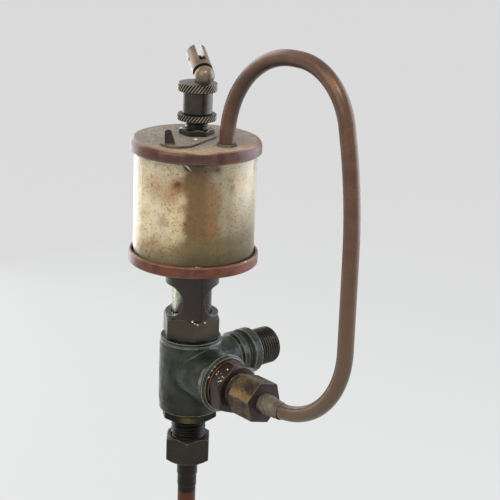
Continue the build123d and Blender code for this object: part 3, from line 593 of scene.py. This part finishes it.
# Rust specks, thicker under the lid. The film is thinnest on the side of the window, and the
# light that comes through it makes it glow.
top_dirt = add(tree, "MapRange", (height, 91.0, 97.0, 0, 0.07))
dotted = add(tree, "Math", (dots, top_dirt))
patchy = add(tree, "MapRange", (wide, 0.35, 0.55, 0.4, 1))
rusty = add(tree, "MapRange", (dotted, 0.585, 0.635, 0, 0.9))
rusty = add(tree, "Math", (rusty, patchy), **times)
colour = layered(tree, colour, (rusty, "#6b4720"))
solid = add(tree, "Mix", {0: rusty, 2: solid, 3: 0.85})
thin = add(tree, "MapRange", (out_towards(160.0), -2.0, 7.0))
solid = add(tree, "Mix", {0: thin, 2: solid, 3: 0.06})
matt = add(tree, "BsdfDiffuse", {"Color": colour})
glow = add(tree, "BsdfTranslucent", {"Color": colour})
skin = add(tree, "MixShader", (0.52, matt, glow))
clear = add(tree, "BsdfTransparent", {"Color": layered(tree, "#fdfaf2", (under_oil, "#d9cda6"))})
film = add(tree, "MixShader", (solid, clear, skin))
add(tree, "OutputMaterial", {"Surface": film})
lay(oil_skin, dried_oil)


def sliver(name, start, finish, width, thickness, bow, code, gloss):
    """A thin tapered splinter that lies on the cup's outside: from start to finish (heading and
    height), `bow` mm aside in the middle, with a section of width sin and thickness cos that
    shrinks as sin(pi t) to both ends. What is aside lies at 45 degrees, 0.7 of it each way."""
    t = np.linspace(0, 1, 17)[:, None]
    around = np.linspace(0, 2 * math.pi, 8, endpoint=False)[None, :]
    (first_heading, first_height), (last_heading, last_height) = start, finish
    swell = np.sin(math.pi * t) * 0.96 + 0.04
    aside = bow * np.sin(math.pi * t) + 0.5 * width * swell * np.sin(around)
    heading = np.radians(first_heading + (last_heading - first_heading) * t)
    heading = heading + 0.7 * aside / glass_radius
    rise = first_height + (last_height - first_height) * t + 0.7 * aside
    radius = glass_radius + 0.5 * thickness * swell * np.cos(around)
    points = np.stack([radius * np.cos(heading), radius * np.sin(heading), rise], axis=-1)
    points = (points + np.array(cup_axis)).reshape(-1, 3)
    ring = np.arange(len(points)).reshape(radius.shape)
    low, high = ring[:-1], ring[1:]
    low_beside, high_beside = np.roll(low, -1, axis=1), np.roll(high, -1, axis=1)
    triangles = [
        np.stack([low, high, high_beside], axis=-1).reshape(-1, 3),
        np.stack([low, high_beside, low_beside], axis=-1).reshape(-1, 3),
        np.stack([0 * ring[0, 2:] + ring[0, 0], ring[0, 1:-1], ring[0, 2:]], axis=-1),
        np.stack([0 * ring[-1, 2:] + ring[-1, 0], ring[-1, 2:], ring[-1, 1:-1]], axis=-1),
    ]
    material, tree = new_material(name)
    place = add(tree, "TexCoord", out="Object")
    flecks = add(tree, "TexNoise", {"Vector": place, "Scale": 2500.0})
    flecked = add(tree, "MapRange", (flecks, 0.5, 0.65, 0, 0.6))
    colour = layered(tree, code, (flecked, "#6b5638"))
    shader = add(tree, "BsdfPrincipled", {"Base Color": colour, "Roughness": gloss})
    add(tree, "OutputMaterial", {"Surface": shader})
    lay(surface_piece(name, points, np.concatenate(triangles)), material)


# A chip at the cup's upper edge, drawn as two slivers: a painted shadow in the hollow of the break and a
# painted highlight on the lip beside it.
sliver("glass_chip_painted_shadow", (-52.5, 96.0), (-43.6, 92.7), 0.62, 0.06, -0.25, "#241b10", 0.3)
sliver("glass_chip_painted_highlight", (-50.6, 95.9), (-43.0, 93.0), 0.5, 0.08, 0.2, "#f1e9cd", 0.15)

# The lid: red brass, spun and turned with a round shoulder, and drilled for the tube, for the
# filler and for the pipe. Its top is grey with dust stuck in oil, and its shoulder has a painted
# highlight on the front. A fillet of soft solder holds the pipe in it.
lid_top = ends("lid")[1]


def shoulder_highlight(tree, place, height, colour, fine):
    """A painted highlight: the shoulder is pale tan on its front side, towards -25 degrees."""
    centred = add(tree, "VectorMath", (place, cup_axis), **minus)
    way = (0.9, -0.43, 0.0)
    toward = add(tree, "VectorMath", (centred, way), **dot)
    pale_edge = add(tree, "MapRange", (height, lid_top - 1.3, lid_top - 0.3))
    near = add(tree, "MapRange", (toward, 6.0, 22.0, 0, 0.85))
    broken = add(tree, "MapRange", (fine, 0.6, 0.45, 0.35, 1))
    for limit in (near, broken):
        pale_edge = add(tree, "Math", (pale_edge, limit), **times)
    return layered(tree, colour, (pale_edge, "#f0cba4"))


dress("lid", aged_metal(
    "red_brass_lid", 7, "#6c4b3f", "#4e3531", "#c8a688",
    metallic=0.5, roughness=(0.3, 0.5), wear=0.5, dust=("#aca396", "#6f665b"), dusting=0.95,
    slope=(0.86, 0.99), coat=0.3, rounding=0.6, lathe=(0, 0, 1), tint=shoulder_highlight,
))
dress("solder_ring", aged_metal(
    "dusty_soft_solder", 8, "#6b5d4e", "#463b31", "#8f8273",
    metallic=0.2, roughness=(0.6, 0.85), coat=0.0,
))

# The centre tube: brass, threaded at its top, with ports for the oil near its foot. It ties
# the lid down to the base. The filler cover, a pear of brass sheet with a finger tab bent up,
# swings on it under the nut. Both are blackened by oil.
foot, top = ends("centre_tube")
tube_radius = ends("centre_tube", 0)[1]
bore, foot_radius, shoulder = 2.54, 4.2, foot + 6.0
thread_foot, thread_top = 104.0, 110.0
corners = [
    (bore, foot), (foot_radius, foot), (foot_radius, shoulder), (tube_radius, shoulder),
    (tube_radius, top), (bore, top),
]
tube = turned(
    "tube", outline(corners, 0.1, 1.5, fine=(thread_foot, thread_top, 4.0, 0.14)), around=128,
    shape=lambda r, h, a: threaded(r, h, a, 1.1, 0.5, tube_radius, thread_foot + 0.2, thread_top),
)
fit(tube, "centre_tube", aged_metal(
    "oil_black_brass_tube", 9, "#25211f", "#151312", "#6a655e", metallic=0.6, coat=0.9, reach=0.8,
))
cover_top = ends("filler_cover")[0] + 1.0


def oily_tab(tree, place, height, colour, fine):
    """The tab that the finger pushes is black-brown with oil."""
    risen = add(tree, "MapRange", (height, cover_top + 0.3, cover_top + 0.9, 0, 0.85))
    return layered(tree, colour, (risen, "#33231f"))


dress("filler_cover", aged_metal(
    "oil_black_brass_cover", 10, "#7a6e63", "#574c44", "#b8a89c",
    dust=("#aaa093", "#70675c"), dusting=0.9, coat=0.3, tint=oily_tab,
))


def hexagonal(flats, turn):
    """The worked radius of a bar with six flats: the smaller of the turned radius and
    flats / 2 / cos(angle from the nearest flat's middle), joined by a soft minimum."""
    blend = 0.07

    def shape(radius, height, angle):
        beside = np.radians((np.degrees(angle) - turn) % 60.0 - 30.0)
        flat = flats / 2 / np.cos(beside)
        return -blend * np.logaddexp(-radius / blend, -flat / blend)

    return shape


# A nut's profile goes out to its corners, which are turned off at 30 degrees: by `drop` along
# the nut, down to the radius of its face.
screwed_bore = tube_radius + fit_gap
foot, top = ends("lid_nut")
corner, face, drop = 7.33, 6.16, 0.68
corners = [(screwed_bore, foot), (corner, foot), (corner, top - drop), (face, top), (screwed_bore, top)]
lid_nut = turned("lid_nut_hexagon", outline(corners, 0.08, 0.25), around=300, shape=hexagonal(12.7, -5.7))
fit(lid_nut, "lid_nut", aged_metal(
    "oil_black_brass_nut", 11, "#443c34", "#2b2622", "#b0a48f",
    metallic=0.75, roughness=(0.2, 0.36), coat=0.6,
))

# The adjuster: a brass sleeve that screws on the tube, with a knurled cap for the fingers and
# a knurled ring under it that locks the setting. The knurl is rolled and leans to the right. A
# real one has 53 teeth round, and is drawn coarser here so that it shows. Its grooves are black,
# with old oil and painted shade both, and its ridges grey-brown.
knurl_radius = ends("lock_ring", 0)[1]
knurl_teeth, knurl_depth, knurl_bevel = 36, 0.4, 0.3


def knurled(radius, height, angle, low, high):
    """The radius with slanted teeth: rounded ridges that lean 0.77 mm per mm of height, and fade
    out at the bevels."""
    phase = knurl_teeth * (angle - 0.77 * height / knurl_radius) / (2 * math.pi)
    groove = 0.5 - 0.5 * np.cos(2 * math.pi * phase)
    low_end = np.clip((height - low) / knurl_bevel, 0, 1)
    high_end = np.clip((high - height) / knurl_bevel, 0, 1)
    return radius - knurl_depth * groove * low_end * high_end * (radius > knurl_radius - 1.05)


def black_grooves(tree, place, height, colour, fine):
    """The grooves are black from 0.1 mm down, old oil and painted shade both, and the ridges are worn
    pale.
    """
    centred = add(tree, "VectorMath", (place, cup_axis), **minus)
    flat = add(tree, "VectorMath", (centred, (1, 1, 0)), **times)
    radius = add(tree, "VectorMath", (flat,), out="Value", operation="LENGTH")
    knurl = add(tree, "MapRange", (radius, knurl_radius - 0.45, knurl_radius - 0.33))
    sunk = (radius, knurl_radius - 0.07, knurl_radius - 0.19, 0.0, 0.97)
    ridge = (radius, knurl_radius - 0.17, knurl_radius - 0.05, 0.0, 0.85)
    sunk = add(tree, "Math", (add(tree, "MapRange", sunk), knurl), **times)
    return layered(tree, colour, (add(tree, "MapRange", ridge), "#a89a86"), (sunk, "#120d0a"))


rim = knurl_radius - knurl_bevel
foot, top = ends("lock_ring")
corners = [
    (screwed_bore, foot), (rim, foot), (knurl_radius, foot + knurl_bevel),
    (knurl_radius, top - knurl_bevel), (rim, top), (screwed_bore, top),
]
lock_ring = turned(
    "lock_ring_knurled", outline(corners, 0.12, 0.2), around=14 * knurl_teeth,
    shape=lambda r, h, a: knurled(r, h, a, foot + 0.05, top - 0.05),
)
fit(lock_ring, "lock_ring", aged_metal(
    "rolled_knurl_ring", 12, "#5b5046", "#3a322b", "#a0937f",
    metallic=0.6, rounding=0.1, reach=0.7, closed=(0.9, 0.55), coat=0.3, tint=black_grooves,
), "lock_ring")
foot, top = ends("adjusting_sleeve")
sleeve_radius, needle_hole, cap_foot, cap_ceiling = 6.2, 1.4, foot + 8.9, top - 2.2
corners = [
    (screwed_bore, foot), (sleeve_radius, foot), (sleeve_radius, cap_foot), (rim, cap_foot),
    (knurl_radius, cap_foot + knurl_bevel), (knurl_radius, top - knurl_bevel), (rim, top),
    (needle_hole, top), (needle_hole, cap_ceiling), (screwed_bore, cap_ceiling),
]
sleeve = turned(
    "sleeve_and_cap", outline(corners, 0.12, 0.28), around=14 * knurl_teeth,
    shape=lambda r, h, a: knurled(r, h, a, cap_foot + 0.1, top - 0.2),
)
fit(sleeve, "adjusting_sleeve", aged_metal(
    "rolled_knurl_sleeve", 13, "#463f37", "#302a25", "#a89c88",
    metallic=0.6, roughness=(0.26, 0.46), rounding=0.1, reach=0.7, closed=(0.9, 0.55),
    coat=0.4, lathe=(0, 0, 1), tint=black_grooves, dust=("#a9a9aa", "#7f7e7d"), dusting=0.5,
), "adjusting_sleeve")

# The needle, a steel wire that passes through the cap, and its snap lever on a pin: a bronze
# turning with a ball for the finger and a slotted barrel. Handling keeps it brown and smooth.
steel = aged_metal("oiled_steel_needle", 14, "#4b4640", "#2c2824", "#9a948a", metallic=0.8)
dress("needle", steel)
dress("lever_pin", steel)
dress("toggle_lever", aged_metal(
    "handled_bronze", 15, "#8c7963", "#715f4e", "#c7b69c",
    metallic=0.4, roughness=(0.28, 0.44), wear=0.5, coat=0.4, grain=0.015,
))

# The side union: a copper washer, a brass connector screwed into the boss, its nut, and a
# brazed sleeve on the pipe. The connector is dark and beaded with oil. The nut is worn brown
# with yellow corners where the spanner bites, and the sleeve is crusted with old flux.
dress("side_washer", aged_metal("wet_copper_washer", 16, "#7b4a34", "#4c2f22", "#b07a58", coat=0.6))
start, side_end = ends("side_connector", 0)
collar_end, side_nut_end = ends("side_nut", 0)
side_thread, pipe_bore, pipe_hole, collar_radius = 7.0, 2.475, 3.375, 8.0
head, collar, ferrule = side_foot + 6.6, collar_end - 1.0, side_end - 3.3
corner, face, drop = 11.547, 9.7, 1.07
corners = [
    (pipe_bore, start), (side_thread, start), (side_thread, side_foot), (face, side_foot),
    (corner, side_foot + drop), (corner, head - drop), (face, head), (side_thread, head),
    (side_thread, collar), (collar_radius, collar), (collar_radius, collar_end),
    (side_thread, collar_end), (side_thread, side_end), (pipe_hole, side_end), (pipe_hole, ferrule),
    (pipe_bore, ferrule),
]
side_hexagon, thread_end = hexagonal(20.0, 39.0), collar_end - 0.9
side_connector = turned(
    "side_connector_hexagon", outline(corners, 0.1, 0.4, fine=(head, thread_end, 6.0, 0.16)), axis="X",
    around=300,
    shape=lambda r, h, a: threaded(
        side_hexagon(r, h, a), h, a, 1.3, 0.6, side_thread, head + 0.2, thread_end
    ),
)
fit(side_connector, "side_connector", aged_metal(
    "oil_dark_brass_connector", 17, "#46372f", "#2a211d", "#b39c86",
    metallic=0.5, coat=0.45, level=0.2, lathe=(1, 0, 0), reach=2.5,
))
side_sleeve_radius, side_nut_floor = 4.3, side_nut_end - 3.2
thread_hole, pipe_way = side_thread + fit_gap, side_sleeve_radius + fit_gap
corner, face, drop = 9.469, 7.954, 0.875
corners = [
    (thread_hole, collar_end), (face, collar_end), (corner, collar_end + drop),
    (corner, side_nut_end), (pipe_way, side_nut_end), (pipe_way, side_nut_floor),
    (thread_hole, side_nut_floor),
]
side_nut = turned(
    "side_nut_hexagon", outline(corners, 0.15, 0.3), axis="X", around=360, shape=hexagonal(16.4, 44.0)
)


def spanner_bites(tree, place, height, colour, fine):
    """Yellow brass shows in a mottled band above the front corner, where the spanner bites, and
    the end face is purple-dark."""
    along = add(tree, "SeparateXYZ", (place,))
    end = add(tree, "MapRange", (along, side_nut_end - 0.15, side_nut_end - 0.05, 0, 0.8))
    section = add(tree, "VectorMath", (place, (0, 1, 1)), **times)
    bitten = (0.0, -42.9, 4.1)
    gap = add(tree, "VectorMath", (section, bitten), out="Value", operation="DISTANCE")
    ragged = add(tree, "MapRange", (fine, 0.3, 0.7, -2.0, 2.0))
    ragged = add(tree, "Math", (gap, ragged))
    band = add(tree, "MapRange", (ragged, 2.7, 1, 0, 0.7))
    return layered(tree, colour, (band, "#97794a"), (end, "#33262a"))


fit(side_nut, "side_nut", aged_metal(
    "worn_brass_nut", 18, "#705a3e", "#2f251d", "#cdb183",
    metallic=0.45, wear=1.0, coat=0.15, level=0.25, rounding=0.5, grain=0.2, tint=spanner_bites,
))


def crusted(radius, height, angle):
    """The sleeve's outside with lumps of flux, where it stands out of the nut: a sum of 14 waves
    of a few mm, up to 0.2 mm in."""
    chance = np.random.default_rng(7)
    lumps = 0.0
    for wave in range(14):
        turns, rate = chance.integers(1, 12), chance.uniform(-3.5, 3.5)
        lumps = lumps + np.sin(turns * angle + rate * height + chance.uniform(0, 6.28))
    outside = np.clip((radius - 3.55) / 0.5, 0, 1) * (height > side_nut_end)
    return radius - 0.03 * (3 + lumps).clip(0, 7) * outside


start, end = ends("side_pipe_sleeve", 0)
flange, taper_start, tip = side_thread - fit_gap, side_nut_end + 3.0, pipe_hole + 0.15
corners = [
    (pipe_hole, start), (flange, start), (flange, side_nut_floor), (side_sleeve_radius, side_nut_floor),
    (side_sleeve_radius, taper_start), (tip, end), (pipe_hole, end),
]
pipe_sleeve = turned(
    "crusted_pipe_sleeve", outline(corners, 0.12, 0.3), axis="X", around=120, shape=crusted
)
fit(pipe_sleeve, "side_pipe_sleeve", aged_metal(
    "flux_crusted_sleeve", 19, "#857c69", "#5a5345", "#9a9382",
    metallic=0.1, roughness=(0.5, 0.8), coat=0.15, grain=0.25,
))

# The balance pipe: quarter-inch copper tube, bent by hand from the lid over and down into the
# side union. It has gone brown all over, and is paler low down where it is handled.


def paler_below(tree, place, height, colour, fine):
    """The pipe's lower run is paler and greyer than its top."""
    low = add(tree, "MapRange", (height, 110.0, 20.0, 0, 0.7), **soft)
    return layered(tree, colour, (low, "#6c5946"))


dress("balance_pipe", aged_metal(
    "brown_copper_pipe", 20, "#70503e", "#5c4335", "#b29074",
    metallic=0.45, roughness=(0.32, 0.48), wear=0.3, coat=0.25, grain=0.015, tint=paler_below,
))

# The lower union: the same fitting hanging from the tee on a copper washer, with its nut, a
# sleeve and the stub of the delivery pipe. All of it is black-brown with the oil that runs
# down, and the copper shows orange below the last ring of varnish.
dress(
    "lower_washer",
    aged_metal("black_copper_washer", 21, "#241b16", "#140f0d", "#6a4c3a", coat=0.4, level=0.25),
)
end, top = ends("lower_connector")
head = ends("lower_washer")[0]
lower_foot, ferrule, thread_foot = head - 3.3, end + 3.0, -33.0
lower_thread, delivery_bore, delivery_hole = 7.5, 3.12, 3.67
corner, face, drop = 12.933, 10.864, 1.194
corners = [
    (delivery_hole, end), (lower_thread, end), (lower_thread, lower_foot), (face, lower_foot),
    (corner, lower_foot + drop), (corner, head), (lower_thread, head), (lower_thread, top),
    (delivery_bore, top), (delivery_bore, ferrule), (delivery_hole, ferrule),
]
lower_hexagon = hexagonal(22.4, -32.0)
lower_connector = turned(
    "lower_connector_hexagon",
    outline(corners, 0.1, 0.5, fine=(thread_foot + 0.5, lower_foot + 0.3, 6.5, 0.2)), around=300,
    shape=lambda r, h, a: threaded(
        lower_hexagon(r, h, a), h, a, 1.8, 0.8, lower_thread, thread_foot, lower_foot - 0.1
    ),
)


def green_patch(tree, place, height, colour, fine):
    """Olive brass shows on the hexagon's front corner; the thread below it is black."""
    front_corner = (8.6, -41.6, -20.5)
    gap = add(tree, "VectorMath", (place, front_corner), out="Value", operation="DISTANCE")
    ragged = add(tree, "MapRange", (fine, 0, 1, -1.5, 1.5))
    ragged = add(tree, "Math", (gap, ragged))
    patch = add(tree, "MapRange", (ragged, 4.2, 1.5, 0, 0.75))
    thread = add(tree, "MapRange", (height, lower_foot + 0.1, lower_foot - 0.2, 0, 0.8))
    return layered(tree, colour, (patch, "#5e5528"), (thread, "#120f0c"))


fit(lower_connector, "lower_connector", aged_metal(
    "olive_brass_connector", 22, "#2c2116", "#16110c", "#8f8268",
    metallic=0.3, coat=0.15, level=0.15, tint=green_patch,
))
foot, top = ends("lower_nut")
lower_sleeve_radius, lower_nut_floor = 4.5, foot + 3.2
thread_hole, pipe_way = lower_thread + fit_gap, lower_sleeve_radius + fit_gap
corner, face, drop = 10.623, 8.924, 0.98
corners = [
    (pipe_way, foot), (face, foot), (corner, foot + drop), (corner, top - drop), (face, top),
    (thread_hole, top), (thread_hole, lower_nut_floor), (pipe_way, lower_nut_floor),
]
lower_nut = turned(
    "lower_nut_hexagon", outline(corners, 0.15, 0.3), around=360, shape=hexagonal(18.4, -41.0)
)
fit(lower_nut, "lower_nut", aged_metal(
    "oil_black_brass_lower_nut", 23, "#332e24", "#241f18", "#a39b86",
    metallic=0.4, coat=0.3, level=0.2, rounding=0.5,
))
tail_foot, top = ends("lower_pipe_sleeve")
tail_radius, step, flange = 4.2, tail_foot + 5.3, lower_thread - fit_gap
corners = [
    (delivery_hole, tail_foot), (tail_radius, tail_foot), (tail_radius, step),
    (lower_sleeve_radius, step + 0.4), (lower_sleeve_radius, lower_nut_floor),
    (flange, lower_nut_floor), (flange, top), (delivery_hole, top),
]
lower_sleeve = turned("lower_pipe_sleeve_ridged", outline(corners, 0.1, 0.4), around=120)
fit(lower_sleeve, "lower_pipe_sleeve", aged_metal(
    "varnish_black_sleeve", 24, "#231710", "#140e0c", "#5f5350", metallic=0.3, coat=0.25, level=0.25,
))


def bright_below(tree, place, height, colour, fine):
    """The delivery pipe is bare copper below its last ring of varnish."""
    low = add(tree, "MapRange", (height, tail_foot - 2.4, tail_foot - 3.2))
    return layered(tree, colour, (low, "#552b14"))


dress("delivery_pipe", aged_metal(
    "varnished_delivery_pipe", 25, "#18130f", "#100d0b", "#6b5a4c",
    metallic=0.45, coat=0.3, level=0.3, tint=bright_below,
))

# Oil beads: clean oil that has crept out and stands in drops on the side connector, on the
# cage, on the boss, on the cover beside the lid nut and along the lip of the base.
bead_back = 0.15


def beads(name, centres, outward, radii, heights):
    """Flat drops, each half an ellipsoid of one radius across and one height out along its
    direction, closed by a shallow back: ring t of 0 to pi at sin t across and cos t out."""
    centres, outward = np.array(centres, float), np.array(outward, float)
    outward /= np.linalg.norm(outward, axis=1)[:, None]
    radii, heights = np.array(radii, float), np.array(heights, float)
    helper = np.where(np.abs(outward[:, 2:]) < 0.8, [[0.0, 0.0, 1.0]], [[1.0, 0.0, 0.0]])
    side = np.cross(helper, outward)
    side /= np.linalg.norm(side, axis=1)[:, None]
    over = np.cross(outward, side)
    rings, around = 9, 16
    t = np.linspace(0, math.pi, rings + 2)[1:-1][None, :, None, None]
    a = np.linspace(0, 2 * math.pi, around, endpoint=False)[None, None, :, None]
    wide = radii[:, None, None, None] * np.sin(t)
    out = np.where(np.cos(t) > 0, heights[:, None, None, None], bead_back) * np.cos(t)
    grid = centres[:, None, None] + outward[:, None, None] * out
    grid = grid + wide * (side[:, None, None] * np.cos(a) + over[:, None, None] * np.sin(a))
    tops = centres + outward * heights[:, None]
    backs = centres - outward * bead_back
    per = rings * around + 2
    grid = grid.reshape(len(centres), -1, 3)
    points = np.concatenate([grid, tops[:, None], backs[:, None]], axis=1)
    ring = np.arange(rings * around).reshape(rings, around)
    nearer, beside = ring[:-1], np.roll(ring, -1, axis=1)[:-1]
    below, corner_below = ring[1:], np.roll(ring, -1, axis=1)[1:]
    top, back = rings * around, rings * around + 1
    first, last = ring[0], ring[-1]
    faces = np.concatenate([
        np.stack([nearer, below, corner_below], -1).reshape(-1, 3),
        np.stack([nearer, corner_below, beside], -1).reshape(-1, 3),
        np.stack([first * 0 + top, first, np.roll(first, -1)], -1),
        np.stack([first * 0 + back, np.roll(last, -1), last], -1),
    ])
    faces = (faces[None] + (np.arange(len(centres)) * per)[:, None, None]).reshape(-1, 3)
    return surface_piece(name, points.reshape(-1, 3), faces)


# The drops are coloured near white: a painted glint, where clear oil would only mirror the light.
oil_glint_paint, tree = new_material("oil_bead_painted_glint")
place = add(tree, "TexCoord", out="Object")
swirl = add(tree, "TexNoise", {"Vector": place, "Scale": 600.0})
shader = add(tree, "BsdfPrincipled", {
    "Base Color": layered(tree, "#d8d0bc", (swirl, "#f2eee4")), "Roughness": 0.05, "IOR": 1.47,
    "Transmission Weight": 0.25, "Coat Weight": 1.0, "Coat Roughness": 0.03,
})
add(tree, "OutputMaterial", {"Surface": shader})


def set_beads(name, rows, body="fixed_body"):
    """Lays the drops of one place: each row is a centre, a direction, a radius and a height."""
    lay(beads(name, *zip(*rows)), oil_glint_paint, body=body)


facet = (0.0, -0.629, 0.777)  # the way that the connector's upper front flat faces
set_beads("oil_beads_cover", [((8.8, -41.6, 102.65), (0, 0, 1), 0.85, 0.7)], "filler_cover")
set_beads("oil_beads_connector", [
    ((26.2, -41.3, 6.96), facet, 0.38, 0.25), ((26.1, -40.2, 7.83), facet, 0.26, 0.18),
    ((27.9, -40.4, 7.66), facet, 0.2, 0.15), ((29.5, -38.2, 9.45), facet, 0.42, 0.28),
    ((28.7, -42.04, 6.36), facet, 0.28, 0.2), ((29.8, -41.2, 7.04), facet, 0.36, 0.26),
    ((30.6, -42.7, 5.85), facet, 0.45, 0.3), ((29.9, -43.3, 5.35), facet, 0.3, 0.22),
    ((30.9, -41.3, 6.95), facet, 0.25, 0.2),
])
set_beads("oil_beads_cage", [
    ((9.6, -41.3, 24.95), (0.6, -0.5, 1), 0.55, 0.2), ((10.5, -40.75, 24.3), (0.6, -0.5, 1), 0.35, 0.2),
    ((11.3, -39.9, 23.8), (0.6, -0.4, 1), 0.4, 0.2), ((11.9, -36.4, 24.2), (0.8, -0.3, 1), 0.4, 0.2),
])
set_beads("oil_beads_boss", [
    ((23.98, -43.5, 5.4), (1, 0, 0), 0.42, 0.3), ((23.98, -41.9, 7.9), (1, 0, 0), 0.32, 0.25),
    ((23.98, -40.4, 9.2), (1, 0, 0), 0.26, 0.2),
])
set_beads("oil_beads_lip", [
    ((20.9, -49.3, 53.35), (0.3, -0.2, 1), 0.5, 0.35), ((21.6, -48.4, 53.35), (0.3, -0.2, 1), 0.4, 0.3),
    ((20.0, -50.5, 53.35), (0.3, -0.2, 1), 0.3, 0.25), ((26.2, -27.9, 53.35), (0.3, 0.1, 1), 0.5, 0.35),
    ((26.1, -29.4, 53.35), (0.3, 0.1, 1), 0.35, 0.25),
])
